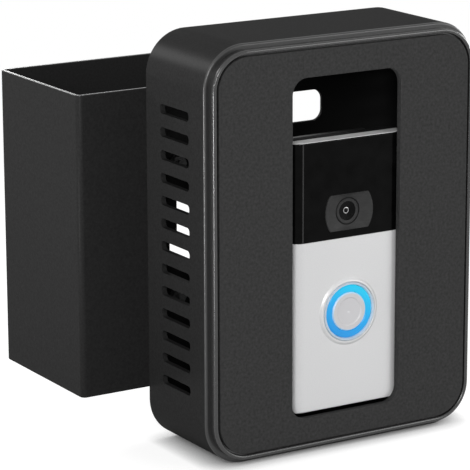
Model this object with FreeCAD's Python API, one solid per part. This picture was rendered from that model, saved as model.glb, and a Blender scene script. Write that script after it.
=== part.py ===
"""Video doorbell in an anti-theft door mount, as an assembly of separate pieces.

Millimetres. +X is to the right of a person who faces the front, +Y runs from the front to the door,
+Z is up. The origin is the centre of the case's underside.
"""
import FreeCAD
import Part
import math
import os

V = FreeCAD.Vector

# ---- driving dimensions -------------------------------------------------------------------------
# case
case_width = 145.0
case_height = 193.0
case_depth = 51.0
case_corner = 20.0
case_wall = 2.5
case_edge_round = 1.0
flange_width = 12.0
flange_thick = 2.5
post_radius = 4.5
post_bite = 0.8
# raised front frame and plate
frame_inset = 2.4
frame_height = 4.2
bead_width = 2.0
bead_round = 0.9
groove_width = 0.8
frame_ledge = 2.0
frame_ledge_width = 7.0
plate_thick = 2.0
plate_edge_round = 0.4
window_width = 58.6
window_margin = 17.1
window_rise = -0.7
window_centre_x = 0.5
window_corner = 7.5
window_edge_round = 0.35
lip_width = 2.0
lip_gap = 0.3
stud_radius = 1.5
stud_end_margin = 38.6
stud_length = 9.0
stud_head_radius = 2.6
nut_flats = 5.5
nut_thick = 2.4
# vent slots
slot_count = 13
slot_pitch = 10.56
slot_height = 4.4
slot_length = 25.0
slot_shift = 0.4
slot_corner = 1.8
# back plate
back_thick = 1.5
plate_clearance = 0.3
top_hole_width = 43.4
top_hole_height = 14.7
top_hole_drop = 1.8
top_hole_corner = 5.0
hook_hole_shift = -1.2
hook_hole_drop = 12.5
hook_hole_height = 32.0
hook_neck_width = 19.8
hook_foot_width = 27.6
hook_foot_height = 13.2
hook_corner = 1.5
case_screw_radius = 1.5
case_screw_head_radius = 2.9
case_screw_head = 1.4
case_screw_length = 9.0
# door bracket
bracket_reach = 35.3
bracket_rivet_gap = 4.2
bracket_height = 141.3
bracket_gap_depth = 76.8
bracket_thick = 1.5
bend_radius = 1.0
bracket_hole_margin = 2.0
bolt_radius = 2.0
bolt_head_radius = 3.8
bolt_head = 1.4
bolt_nut_flats = 7.0
bolt_nut_thick = 3.2
bolt_run_out = 2.0
bolt_side_margin = 14.5
bolt_carrier_margin = 12.9
bolt_pitch_z = 62.0
pad_thick = 2.0
pad_edge_gap = 4.0
pad_bolt_gap = 4.0
# clamp
clamp_gap = 45.0
clamp_screw_radius = 3.0
clamp_screw_clearance = 0.05
clamp_screw_span = 56.0
clamp_head_radius = 7.0
clamp_head_thick = 6.0
clamp_head_gap = 12.0
hex_socket = 5.0
hex_socket_depth = 3.5
weld_nut_radius = 6.5
weld_nut_thick = 5.0
clamp_plate_width = 44.0
clamp_plate_height = 96.0
clamp_plate_thick = 2.5
clamp_plate_corner = 5.0
clamp_pad_thick = 3.0
clip_outer_radius = 4.6
clip_thick = 1.0
clip_gap = 0.2
screw_tip_radius = 2.4
# doorbell
bell_width = 62.0
bell_height = 126.5
bell_depth = 28.0
bell_lift = 1.5
bell_centre_x = 3.9
bell_gap = 1.5
bell_side_round = 7.0
bell_skin = 1.6
face_depth = 13.5
lens_panel_height = 46.2
seam_gap = 0.15
bell_fit = 0.25
chassis_wall = 1.6
rear_case_inset = 2.2
rear_case_wall = 1.8
gasket_thick = 0.6
bell_post_radius = 2.8
mount_plate_thick = 3.0
mount_plate_inset = 3.0
# camera
camera_rise = 12.1
bezel_width = 26.0
bezel_height = 16.9
bezel_side_bulge = 2.6
bezel_corner = 1.0
bezel_proud = 0.5
bezel_thick = 2.2
cone_outer_radius = 6.5
cone_inner_radius = 4.6
barrel_radius = 5.7
barrel_bore = 3.9
lens_front_radius = 3.8
lens_front_thick = 1.3
lens_rear_radius = 3.2
lens_rear_thick = 1.0
sensor_size = 9.0
sensor_thick = 1.4
camera_board_width = 30.0
camera_board_height = 22.0
camera_board_gap = 1.0
ir_led_radius = 1.5
ir_led_length = 3.0
board_thick = 1.0
# button
button_drop = 35.1
button_lip_radius = 15.7
button_lip_rise = 0.35
bezel_ring_outer = 14.0
bezel_ring_inner = 12.55
bezel_ring_hook = 0.6
bezel_ring_proud = 1.3
light_outer = 12.4
light_inner = 9.25
light_proud = 0.8
cap_radius = 9.1
cap_proud = 0.9
cap_dish_radius = 6.2
cap_dish_depth = 0.35
cap_thick = 2.2
cap_stem_radius = 2.2
button_travel = 0.8
switch_size = 6.2
switch_height = 2.6
plunger_radius = 1.7
plunger_height = 1.6
cup_wall = 1.2
# boards and inner pieces
board_inset = 1.2
main_board_side_inset = 8.0
main_board_end_inset = 8.25
board_post_inset = 3.0
microphone_post_gap = 8.0
board_parts_room = 3.2
battery_side_inset = 9.0
terminal_rise = 14.0
terminal_room = 15.25
usb_drop = 12.0
usb_room = 5.25
speaker_radius = 9.0
speaker_thick = 4.5
# carrier
carrier_width = 32.0
carrier_low_gap = 11.0
carrier_top_gap = 13.5
carrier_thick = 1.5
carrier_flange = 9.0
rivet_radius = 2.0
rivet_head_radius = 3.2
rivet_head = 0.8
rivet_end = 15.3
mount_screw_end = 15.5
mount_screw_side = 10.25

# ---- derived planes -----------------------------------------------------------------------------
half_width = case_width / 2
front = -case_depth / 2
back = case_depth / 2
cover_front = front - frame_height
plate_back = front - frame_ledge
plate_front = plate_back - plate_thick
mid_z = case_height / 2
window_height = case_height - 2 * window_margin
window_mid_z = mid_z + window_rise
window_bottom = window_mid_z - window_height / 2
flange_back = front + flange_thick
back_inner = back - back_thick
bell_bottom = window_bottom + bell_lift
bell_top = bell_bottom + bell_height
bell_mid_z = bell_bottom + bell_height / 2
split_z = bell_top - lens_panel_height
camera_z = split_z + camera_rise
button_z = split_z - button_drop
carrier_bottom = bell_bottom + carrier_low_gap
carrier_top = bell_top - carrier_top_gap
rivet_reach = carrier_width / 2 + carrier_flange / 2
carrier_left = bell_centre_x - carrier_width / 2 - carrier_flange
hook_hole_x = (carrier_left - half_width) / 2 + hook_hole_shift
hook_hole_bottom = mid_z - hook_hole_drop
hook_neck_top = hook_hole_bottom + hook_hole_height
top_hole_bottom = bell_top - top_hole_drop
bracket_left = -half_width - bracket_reach
bracket_right = bell_centre_x - rivet_reach - rivet_head_radius - bracket_rivet_gap
bracket_bottom = mid_z - bracket_height / 2
bracket_top = mid_z + bracket_height / 2
bracket_rear = back + bracket_gap_depth
door_face = back + bracket_thick
rear_face = bracket_rear - bracket_thick
bolt_mid_z = (hook_hole_bottom + hook_neck_top) / 2
bolt_left_x = -half_width + bolt_side_margin
bolt_right_x = carrier_left - bolt_carrier_margin
bell_front = plate_back + bell_gap
face_back = bell_front + face_depth
bell_back = bell_front + bell_depth
case_seat = bell_back - mount_plate_thick
chassis_front = bell_front + bell_skin + bell_fit
chassis_back = face_back - gasket_thick / 2
rear_case_front = chassis_back + gasket_thick
lip_back = bell_front - lip_gap
security_y = face_back - 4.5
usb_z = bell_top - usb_drop
terminal_z = bell_bottom + terminal_rise
motion_z = split_z - 7.5
ring_seat = bell_front + bell_skin
led_board_front = ring_seat + 1.2
led_board_back = led_board_front + 0.8
cup_floor = led_board_back + 0.6
main_board_back = chassis_back - board_inset
main_board_front = main_board_back - board_thick
main_board_width = bell_width - 2 * main_board_side_inset
main_board_height = bell_height - 2 * main_board_end_inset
battery_front = main_board_back + board_parts_room
battery_back = case_seat - rear_case_wall
battery_low = terminal_z + terminal_room
battery_high = usb_z - usb_room
bezel_stem = bezel_ring_outer - bezel_ring_hook - 0.1


# ---- helpers ------------------------------------------------------------------------------------
def box(x0, x1, y0, y1, z0, z1):
    return Part.makeBox(x1 - x0, y1 - y0, z1 - z0, V(x0, y0, z0))


def rod(x, z, y0, y1, radius):
    """A solid cylinder along Y."""
    return Part.makeCylinder(radius, y1 - y0, V(x, y0, z), V(0, 1, 0))


def tube(x, z, y0, y1, outer, inner):
    return rod(x, z, y0, y1, outer).cut(rod(x, z, y0 - 1, y1 + 1, inner))


def hexagon(x, z, y0, y1, flats):
    """A hexagonal prism along Y, flats apart."""
    reach = flats / math.sqrt(3)
    corners = [V(x + reach * math.cos(i * math.pi / 3), y0, z + reach * math.sin(i * math.pi / 3))
               for i in range(6)]
    return Part.Face(Part.makePolygon(corners + corners[:1])).extrude(V(0, y1 - y0, 0))


def slab(x, z, width, height, y0, y1, corner):
    """A rounded rectangle centred on x, z, as thick as from y0 to y1."""
    x0, x1 = x - width / 2, x + width / 2
    z0, z1 = z - height / 2, z + height / 2
    bow = corner * (1 - math.sqrt(0.5))
    lines = [
        (V(x0 + corner, y0, z0), V(x1 - corner, y0, z0)), (V(x1, y0, z0 + corner), V(x1, y0, z1 - corner)),
        (V(x1 - corner, y0, z1), V(x0 + corner, y0, z1)), (V(x0, y0, z1 - corner), V(x0, y0, z0 + corner)),
    ]
    middles = [V(x1 - bow, y0, z0 + bow), V(x1 - bow, y0, z1 - bow),
               V(x0 + bow, y0, z1 - bow), V(x0 + bow, y0, z0 + bow)]
    edges = []
    for i, (start, end) in enumerate(lines):
        following = lines[(i + 1) % 4][0]
        edges.append(Part.makeLine(start, end))
        edges.append(Part.Arc(end, middles[i], following).toShape())
    return Part.Face(Part.Wire(edges)).extrude(V(0, y1 - y0, 0))


def case_slab(inset, y0, y1):
    """The case's outline, drawn in by inset on every side."""
    return slab(0, mid_z, case_width - 2 * inset, case_height - 2 * inset, y0, y1, case_corner - inset)


def bell_slab(inset, y0, y1, z0, z1):
    """The doorbell's plan outline, drawn in by inset, from z0 to z1: flat front with rounded sides."""
    x0 = bell_centre_x - bell_width / 2 + inset
    x1 = bell_centre_x + bell_width / 2 - inset
    r = max(bell_side_round - inset, 0.5)
    bow = r * (1 - math.sqrt(0.5))
    edges = [
        Part.makeLine(V(x0, y1, z0), V(x1, y1, z0)),
        Part.makeLine(V(x1, y1, z0), V(x1, y0 + r, z0)),
        Part.Arc(V(x1, y0 + r, z0), V(x1 - bow, y0 + bow, z0), V(x1 - r, y0, z0)).toShape(),
        Part.makeLine(V(x1 - r, y0, z0), V(x0 + r, y0, z0)),
        Part.Arc(V(x0 + r, y0, z0), V(x0 + bow, y0 + bow, z0), V(x0, y0 + r, z0)).toShape(),
        Part.makeLine(V(x0, y0 + r, z0), V(x0, y1, z0)),
    ]
    return Part.Face(Part.Wire(edges)).extrude(V(0, 0, z1 - z0))


def fuse(*shapes):
    whole = shapes[0].fuse(list(shapes[1:]))
    return whole.removeSplitter()


def round_edges(shape, radius, wanted):
    """Fillet the edges whose bounding box passes the test."""
    edges = [e for e in shape.Edges if wanted(e.BoundBox)]
    return shape.makeFillet(radius, edges)


def on_plane_y(y):
    return lambda b: abs(b.YMin - y) < 0.01 and abs(b.YMax - y) < 0.01


def save(name, *solids):
    shape = solids[0] if len(solids) == 1 else Part.makeCompound(list(solids))
    shape.exportStep("parts/" + name + ".step")


# ---- places shared by several pieces ------------------------------------------------------------
def corner_places(inset):
    """Four places in the case's corners, inset from both sides."""
    return [(sx * (half_width - inset), mid_z + sz * (case_height / 2 - inset))
            for sx in (-1, 1) for sz in (-1, 1)]


def post_places():
    """Corner posts: on each corner's diagonal, just biting into the wall."""
    reach = case_corner - case_wall - post_radius + post_bite
    step = reach * math.sqrt(0.5)
    return corner_places(case_corner - step)


def stud_places():
    """Three studs down each side and one at the top and bottom, in the middle of the ledge."""
    inset = frame_inset + bead_width + groove_width + frame_ledge_width / 2
    side = half_width - inset
    rows = [stud_end_margin, mid_z, case_height - stud_end_margin]
    places = [(sx * side, z) for sx in (-1, 1) for z in rows]
    return places + [(0.0, case_height - inset)]


def bolt_places():
    return [(x, bolt_mid_z + sz * bolt_pitch_z / 2) for x in (bolt_left_x, bolt_right_x) for sz in (-1, 1)]


def slot_places():
    return [mid_z + (i - (slot_count - 1) / 2) * slot_pitch for i in range(slot_count)]


def rivet_places():
    return [(bell_centre_x + sx * rivet_reach, z) for sx in (-1, 1)
            for z in (carrier_bottom + rivet_end, carrier_top - rivet_end)]


def clamp_screw_places():
    x = (bracket_left + bracket_right) / 2
    return [(x, mid_z + s * clamp_screw_span / 2) for s in (1, -1)]


def bell_post_places():
    side = bell_width / 2 - rear_case_inset - rear_case_wall - 3.2
    rise = bell_height / 2 - rear_case_inset - rear_case_wall - 3.2
    return [(bell_centre_x + sx * side, bell_mid_z + sz * rise) for sx in (-1, 1) for sz in (-1, 1)]


def mount_screw_places():
    return [(bell_centre_x + sx * mount_screw_side, z) for sx in (-1, 1)
            for z in (carrier_bottom + mount_screw_end, carrier_top - mount_screw_end)]


# ---- case ---------------------------------------------------------------------------------------
def make_case_shell():
    outer = case_slab(0, front, back)
    outer = round_edges(outer, case_edge_round, on_plane_y(front))
    inside = case_slab(case_wall, flange_back, back + 1)
    mouth = case_slab(flange_width, front - 1, flange_back + 1)
    shell = outer.cut(inside).cut(mouth)
    posts = [rod(x, z, flange_back - 0.5, back_inner, post_radius) for x, z in post_places()]
    shell = fuse(shell, *posts)
    shell = shell.common(case_slab(0, front - 1, back + 1))
    slot_x = half_width + 1
    for z in slot_places():
        slot = slab(0, 0, slot_length, slot_height, 0, 2 * slot_x, slot_corner)
        slot.rotate(V(0, 0, 0), V(0, 0, 1), -90)
        slot.translate(V(-slot_x, slot_shift, z))
        shell = shell.cut(slot)
    for x, z in post_places():
        shell = shell.cut(rod(x, z, back_inner - case_screw_length, back, case_screw_radius))
    for x, z in stud_places():
        shell = shell.cut(rod(x, z, front - 1, flange_back + 1, stud_radius + 0.1))
    return shell


def make_front_frame():
    outer = case_slab(frame_inset, cover_front, front)
    outer = round_edges(outer, bead_round, on_plane_y(cover_front))
    recess = case_slab(frame_inset + bead_width, cover_front - 1, plate_back)
    mouth = case_slab(frame_inset + bead_width + frame_ledge_width, cover_front - 1, front + 1)
    frame = outer.cut(recess).cut(mouth)
    inner = case_slab(frame_inset + bead_width, cover_front, cover_front + 1).BoundBox
    frame = round_edges(frame, bead_round, lambda b: on_plane_y(cover_front)(b)
                        and b.XMin > inner.XMin - 0.01 and b.XMax < inner.XMax + 0.01
                        and b.ZMin > inner.ZMin - 0.01 and b.ZMax < inner.ZMax + 0.01)
    for x, z in stud_places():
        frame = frame.cut(rod(x, z, cover_front - 1, front + 1, stud_radius + 0.1))
    return frame


def make_front_plate():
    plate = case_slab(frame_inset + bead_width + groove_width, plate_front, plate_back)
    plate = round_edges(plate, plate_edge_round, on_plane_y(plate_front))
    reach = window_width / 2
    lip = slab(window_centre_x, window_mid_z, window_width + 2 * lip_width, window_height + 2 * lip_width,
               plate_back - 0.5, lip_back, window_corner + lip_width)
    window = slab(window_centre_x, window_mid_z, window_width, window_height,
                  plate_front - 1, lip_back + 1, window_corner)
    plate = fuse(plate, lip).cut(window)
    return round_edges(plate, window_edge_round, lambda b: on_plane_y(plate_front)(b)
                       and abs(b.XMin - window_centre_x) < reach + 0.01
                       and abs(b.XMax - window_centre_x) < reach + 0.01)


def make_cover_studs():
    return [rod(x, z, plate_back, plate_back + stud_length, stud_radius) for x, z in stud_places()]


def make_cover_nuts():
    return [hexagon(x, z, flange_back, flange_back + nut_thick, nut_flats)
            .cut(rod(x, z, flange_back - 1, flange_back + nut_thick + 1, stud_radius))
            for x, z in stud_places()]


def hook_hole(y0, y1):
    """The rear opening beside the doorbell: a wide foot with a narrower neck above it."""
    foot = slab(hook_hole_x, hook_hole_bottom + hook_foot_height / 2, hook_foot_width, hook_foot_height,
                y0, y1, hook_corner)
    neck_height = hook_neck_top - hook_hole_bottom
    neck = slab(hook_hole_x, hook_hole_bottom + neck_height / 2, hook_neck_width, neck_height,
                y0, y1, hook_corner)
    return foot.fuse(neck)


def make_back_plate():
    plate = case_slab(case_wall + plate_clearance, back_inner, back)
    plate = plate.cut(hook_hole(back_inner - 1, back + 1))
    plate = plate.cut(slab(0, top_hole_bottom + top_hole_height / 2, top_hole_width, top_hole_height,
                           back_inner - 1, back + 1, top_hole_corner))
    for x, z in bolt_places():
        plate = plate.cut(rod(x, z, back_inner - 1, back + 1, bolt_radius + 0.1))
    for x, z in rivet_places():
        plate = plate.cut(rod(x, z, back_inner - 1, back + 1, rivet_radius))
    for x, z in post_places():
        plate = plate.cut(rod(x, z, back_inner - 1, back + 1, case_screw_radius + 0.1))
    return plate


def make_case_screws():
    screws = []
    for x, z in post_places():
        head = rod(x, z, back, back + case_screw_head, case_screw_head_radius)
        head = head.cut(hexagon(x, z, back + 0.5, back + case_screw_head + 1, 2.0))
        screws.append(head.fuse(rod(x, z, back_inner - case_screw_length, back, case_screw_radius)))
    return [s.removeSplitter() for s in screws]


# ---- door bracket and clamp ---------------------------------------------------------------------
def make_door_bracket():
    outer = box(bracket_left, bracket_right, back, bracket_rear, bracket_bottom, bracket_top)
    bend = bend_radius + bracket_thick
    outer = round_edges(outer, bend, lambda b: abs(b.XMin - bracket_left) < 0.01
                        and abs(b.XMax - bracket_left) < 0.01 and b.ZLength > 1)
    inner_left = bracket_left + bracket_thick
    inner = box(inner_left, bracket_right + 1, door_face, rear_face, bracket_bottom - 1, bracket_top + 1)
    inner = round_edges(inner, bend_radius, lambda b: abs(b.XMin - inner_left) < 0.01
                        and abs(b.XMax - inner_left) < 0.01 and b.ZLength > 1)
    bracket = outer.cut(inner)
    height = hook_neck_top - hook_hole_bottom + 2 * bracket_hole_margin
    bracket = bracket.cut(slab(hook_hole_x, bolt_mid_z, hook_foot_width + 2 * bracket_hole_margin, height,
                               back - 1, door_face + 1, 3.0))
    for x, z in bolt_places():
        bracket = bracket.cut(rod(x, z, back - 1, door_face + 1, bolt_radius + 0.1))
    for x, z in clamp_screw_places():
        bracket = bracket.cut(rod(x, z, rear_face - 1, bracket_rear + 1, clamp_screw_radius + 0.6))
    return bracket


def make_bracket_bolts():
    bolts = []
    end = back_inner - bolt_nut_thick - bolt_run_out
    for x, z in bolt_places():
        head = rod(x, z, door_face, door_face + bolt_head, bolt_head_radius)
        bolts.append(head.fuse(rod(x, z, end, door_face, bolt_radius)).removeSplitter())
    return bolts


def make_bracket_nuts():
    y0 = back_inner - bolt_nut_thick
    return [hexagon(x, z, y0, back_inner, bolt_nut_flats).cut(rod(x, z, y0 - 1, back, bolt_radius))
            for x, z in bolt_places()]


def make_door_pads():
    x0 = bracket_left + bracket_thick + bend_radius + pad_edge_gap
    x1 = bracket_right - pad_edge_gap
    reach = bolt_pitch_z / 2 + bolt_head_radius + pad_bolt_gap
    spans = [(bracket_bottom + pad_edge_gap, bolt_mid_z - reach), (bolt_mid_z + reach, bracket_top - pad_edge_gap)]
    return [box(x0, x1, door_face, door_face + pad_thick, z0, z1) for z0, z1 in spans]


def make_weld_nuts():
    return [tube(x, z, rear_face - weld_nut_thick, rear_face, weld_nut_radius,
                 clamp_screw_radius + clamp_screw_clearance) for x, z in clamp_screw_places()]


# The clamp rests with clamp_gap between the door pads and the clamp pad.
pad_front = door_face + pad_thick + clamp_gap
press_front = pad_front + clamp_pad_thick
press_back = press_front + clamp_plate_thick
head_front = bracket_rear + clamp_head_gap
tip_front = press_front - clip_gap - clip_thick


def make_clamp_plate():
    x, z = (bracket_left + bracket_right) / 2, mid_z
    plate = slab(x, z, clamp_plate_width, clamp_plate_height, press_front, press_back, clamp_plate_corner)
    for sx, sz in clamp_screw_places():
        plate = plate.cut(rod(sx, sz, press_front - 1, press_back + 1,
                              screw_tip_radius + clamp_screw_clearance))
    return plate


def make_clamp_pad():
    x = (bracket_left + bracket_right) / 2
    pad = slab(x, mid_z, clamp_plate_width, clamp_plate_height, pad_front, press_front, clamp_plate_corner)
    for sx, sz in clamp_screw_places():
        pad = pad.cut(rod(sx, sz, pad_front - 1, press_front + 1, clip_outer_radius + 0.6))
    return pad


def make_clamp_screw(x, z):
    tip_back = press_back
    screw = fuse(rod(x, z, tip_front, tip_back, screw_tip_radius),
                 rod(x, z, tip_back, head_front, clamp_screw_radius),
                 rod(x, z, head_front, head_front + clamp_head_thick, clamp_head_radius))
    end = head_front + clamp_head_thick
    screw = round_edges(screw, 0.6, lambda b: abs(b.YMin - end) < 0.01 and b.XLength > 2 * clamp_screw_radius)
    return screw.cut(hexagon(x, z, end - hex_socket_depth, end + 1, hex_socket))


def make_tip_clip(x, z):
    return tube(x, z, tip_front, press_front - clip_gap, clip_outer_radius, screw_tip_radius)


# ---- carrier ------------------------------------------------------------------------------------
def make_bell_carrier():
    half = carrier_width / 2
    top = carrier_top
    x0, x1 = bell_centre_x - half, bell_centre_x + half
    outer = box(x0, x1, bell_back, back_inner, carrier_bottom, top)
    inner = box(x0 + carrier_thick, x1 - carrier_thick, bell_back + carrier_thick, back_inner + 1,
                carrier_bottom - 1, top + 1)
    flanges = box(x0 - carrier_flange, x1 + carrier_flange, back_inner - carrier_thick, back_inner,
                  carrier_bottom, top)
    carrier = fuse(outer, flanges).cut(inner)
    for x, z in rivet_places():
        carrier = carrier.cut(rod(x, z, back_inner - 3, back, rivet_radius))
    for x, z in mount_screw_places():
        carrier = carrier.cut(rod(x, z, bell_back - 1, bell_back + 3, 1.5))
    return carrier.cut(rod(bell_centre_x, bell_mid_z, bell_back - 1, bell_back + 3, 9.0))


def make_carrier_rivets():
    rivets = []
    y0 = back_inner - carrier_thick
    for x, z in rivet_places():
        shank = rod(x, z, y0, back, rivet_radius)
        rivets.append(fuse(shank, rod(x, z, y0 - rivet_head, y0, rivet_head_radius),
                           rod(x, z, back, back + rivet_head, rivet_head_radius)))
    return rivets


# ---- doorbell -----------------------------------------------------------------------------------
def bell_cover(z0, z1):
    """A D-shaped shell of the doorbell's front between two heights, open at both."""
    return bell_slab(0, bell_front, face_back, z0, z1)


def make_lens_panel():
    z0 = split_z + seam_gap
    panel = bell_cover(z0, bell_top)
    inside = bell_slab(bell_skin, bell_front + bell_skin, face_back + 1, z0 - 1, bell_top - bell_skin)
    panel = panel.cut(inside)
    panel = round_edges(panel, 0.5, lambda b: abs(b.ZMin - bell_top) < 0.01 and b.YMin < face_back - 0.5)
    return panel.cut(camera_outline(bell_fit / 2, bell_front - 1, bell_front + bell_skin + 1))


def make_faceplate():
    cover = bell_cover(bell_bottom, split_z)
    inside = bell_slab(bell_skin, bell_front + bell_skin, face_back + 1, bell_bottom + bell_skin, split_z + 1)
    cover = cover.cut(inside)
    cover = round_edges(cover, 0.6, lambda b: abs(b.ZMax - bell_bottom) < 0.01 and b.YMin < face_back - 0.5)
    lip = Part.makeCone(bezel_ring_outer, button_lip_radius, button_lip_rise,
                        V(bell_centre_x, bell_front - button_lip_rise, button_z), V(0, 1, 0))
    cover = fuse(cover, lip)
    cover = cover.cut(rod(bell_centre_x, button_z, bell_front - 1, bell_front + bell_skin + 1,
                          bezel_ring_outer - bezel_ring_hook))
    return cover.cut(Part.makeCylinder(1.7, bell_skin + 2, V(bell_centre_x, security_y, bell_bottom - 1),
                                       V(0, 0, 1)))


def chassis_slab(inset, y0, y1):
    gap = bell_skin + bell_fit
    return bell_slab(gap + inset, y0, y1, bell_bottom + gap + inset, bell_top - gap - inset)


def make_bell_chassis():
    chassis = chassis_slab(0, chassis_front, chassis_back)
    chassis = chassis.cut(chassis_slab(chassis_wall, chassis_front + chassis_wall, chassis_back + 1))
    posts = [rod(x, z, chassis_front + 1, main_board_front, 2.6) for x, z in board_post_places()]
    chassis = fuse(chassis, *posts)
    for x, z in bell_post_places():
        chassis = chassis.fuse(rod(x, z, chassis_front + 1, chassis_back, bell_post_radius))
    chassis = chassis.fuse(rod(bell_centre_x, button_z, chassis_front + 1, cup_floor + cup_wall,
                               bezel_ring_outer + cup_wall))
    chassis = chassis.removeSplitter().common(chassis_slab(0, chassis_front, chassis_back))
    chassis = chassis.cut(rod(bell_centre_x, button_z, chassis_front - 1, cup_floor, bezel_stem + 0.2))
    for x, z in bell_post_places():
        chassis = chassis.cut(rod(x, z, chassis_back - 6, chassis_back + 1, 1.0))
    for x, z in board_post_places():
        chassis = chassis.cut(rod(x, z, main_board_front - 3, main_board_front + 1, 0.9))
    chassis = chassis.cut(rod(bell_centre_x, camera_z, chassis_front - 1, chassis_front + 3,
                              barrel_radius + 0.4))
    chassis = chassis.cut(rod(bell_centre_x, button_z, chassis_front - 1, cup_floor + cup_wall + 1,
                              light_inner + 0.6))
    chassis = chassis.cut(rod(bell_centre_x, motion_z, chassis_front - 1, chassis_front + 3, 4.8))
    for x, z in ir_led_places():
        chassis = chassis.cut(rod(x, z, chassis_front - 1, chassis_front + 3, ir_led_radius + 0.3))
    return chassis.cut(Part.makeCylinder(1.5, 8.0, V(bell_centre_x, security_y, bell_bottom), V(0, 0, 1)))


def board_post_places():
    side = main_board_width / 2 - board_post_inset
    rise = main_board_height / 2 - board_post_inset
    return [(bell_centre_x + sx * side, bell_mid_z + sz * rise) for sx in (-1, 1) for sz in (-1, 1)]


def rear_slab(inset, y0, y1):
    gap = rear_case_inset + inset
    return slab(bell_centre_x, bell_mid_z, bell_width - 2 * gap, bell_height - 2 * gap, y0, y1,
                max(6.0 - inset, 0.5))


def make_bell_gasket():
    ring = rear_slab(0.3, chassis_back, rear_case_front)
    ring = ring.cut(rear_slab(rear_case_wall, chassis_back - 1, rear_case_front + 1))
    return ring


def make_bell_rear_case():
    rear = rear_slab(0, rear_case_front, case_seat)
    rear = rear.cut(rear_slab(rear_case_wall, rear_case_front - 1, case_seat - rear_case_wall))
    for x, z in bell_post_places():
        rear = rear.fuse(rod(x, z, rear_case_front, case_seat - 1, bell_post_radius))
    rear = rear.removeSplitter()
    for x, z in bell_post_places():
        rear = rear.cut(rod(x, z, rear_case_front - 1, case_seat + 1, 1.25))
        rear = rear.cut(rod(x, z, case_seat - 1.6, case_seat + 1, 2.3))
    rear = rear.cut(slab(bell_centre_x, usb_z, 9.6, 4.0, case_seat - 3, case_seat + 1, 1.8))
    for x, z in terminal_places():
        rear = rear.cut(rod(x, z, case_seat - 3, case_seat + 1, 1.6))
    return rear


def make_bell_case_screws():
    screws = []
    for x, z in bell_post_places():
        head = rod(x, z, case_seat - 1.6, case_seat, 2.2)
        screws.append(fuse(head, rod(x, z, chassis_back - 5.5, case_seat - 1.6, 1.0)))
    return screws


def make_mounting_plate():
    width = bell_width - 2 * mount_plate_inset
    height = bell_height - 2 * mount_plate_inset
    plate = slab(bell_centre_x, bell_mid_z, width, height, case_seat, bell_back, 5.0)
    plate = plate.cut(slab(bell_centre_x, terminal_z, 30.0, 16.0, case_seat - 1, bell_back + 1, 2.0))
    plate = plate.cut(slab(bell_centre_x, usb_z, 14.0, 8.0, case_seat - 1, bell_back + 1, 2.0))
    for x, z in mount_screw_places():
        plate = plate.cut(rod(x, z, case_seat - 1, bell_back + 1, 1.6))
        plate = plate.cut(rod(x, z, case_seat - 1, case_seat + 1.6, 3.1))
    return plate


def make_mount_screws():
    screws = []
    for x, z in mount_screw_places():
        head = rod(x, z, case_seat + 0.2, case_seat + 1.6, 3.0)
        screws.append(fuse(head, rod(x, z, case_seat + 1.6, bell_back + 4.5, 1.5)))
    return screws


def terminal_places():
    return [(bell_centre_x + s * 6.5, terminal_z) for s in (-1, 1)]


# ---- camera -------------------------------------------------------------------------------------
def camera_outline(grow, y0, y1):
    """Flat top and bottom, sides that bow outwards."""
    w, h = bezel_width / 2 + grow, bezel_height / 2 + grow
    shoulder = w - bezel_side_bulge
    x, z = bell_centre_x, camera_z
    edges = [
        Part.makeLine(V(x - shoulder, y0, z - h), V(x + shoulder, y0, z - h)),
        Part.Arc(V(x + shoulder, y0, z - h), V(x + w, y0, z), V(x + shoulder, y0, z + h)).toShape(),
        Part.makeLine(V(x + shoulder, y0, z + h), V(x - shoulder, y0, z + h)),
        Part.Arc(V(x - shoulder, y0, z + h), V(x - w, y0, z), V(x - shoulder, y0, z - h)).toShape(),
    ]
    return Part.Face(Part.Wire(edges)).extrude(V(0, y1 - y0, 0))


def make_camera_bezel():
    y0 = bell_front - bezel_proud
    y1 = y0 + bezel_thick
    bezel = camera_outline(0, y0, y1)
    bezel = round_edges(bezel, 0.4, on_plane_y(y0))
    cone = Part.makeCone(cone_outer_radius, cone_inner_radius, bezel_thick + 0.02,
                         V(bell_centre_x, y0 - 0.01, camera_z), V(0, 1, 0))
    return bezel.cut(cone)


barrel_front = bell_front - bezel_proud + bezel_thick + 0.05
camera_board_front = main_board_front - camera_board_gap - board_thick
sensor_front = camera_board_front - sensor_thick


def make_lens_barrel():
    barrel = rod(bell_centre_x, camera_z, barrel_front, sensor_front, barrel_radius)
    barrel = barrel.cut(rod(bell_centre_x, camera_z, barrel_front - 1, sensor_front + 1, barrel_bore - 0.9))
    barrel = barrel.cut(rod(bell_centre_x, camera_z, barrel_front - 1, barrel_front + 1.8, barrel_bore))
    return barrel.cut(rod(bell_centre_x, camera_z, sensor_front - 1.4, sensor_front + 1, lens_rear_radius + 0.05))


def make_lens_front():
    """A plano-convex element whose dome faces out, seated in the barrel's mouth."""
    seat = barrel_front + 1.8
    rise = 0.9
    radius = (lens_front_radius ** 2 + rise ** 2) / (2 * rise)
    ball = Part.makeSphere(radius, V(bell_centre_x, seat - lens_front_thick - rise + radius + 0.9, camera_z))
    disc = rod(bell_centre_x, camera_z, seat - lens_front_thick - rise, seat, lens_front_radius)
    return disc.common(ball)


def make_lens_rear():
    return rod(bell_centre_x, camera_z, sensor_front - 1.2, sensor_front - 0.2, lens_rear_radius)


def make_image_sensor():
    half = sensor_size / 2
    return box(bell_centre_x - half, bell_centre_x + half, sensor_front, camera_board_front,
               camera_z - half, camera_z + half)


def make_camera_board():
    return slab(bell_centre_x, camera_z, camera_board_width, camera_board_height, camera_board_front,
                camera_board_front + board_thick, 1.5)


def ir_led_places():
    side = camera_board_width / 2 - 2.5
    return [(bell_centre_x + sx * side, camera_z + row * 7.0) for sx in (-1, 1) for row in (-1, 0, 1)]


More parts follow.
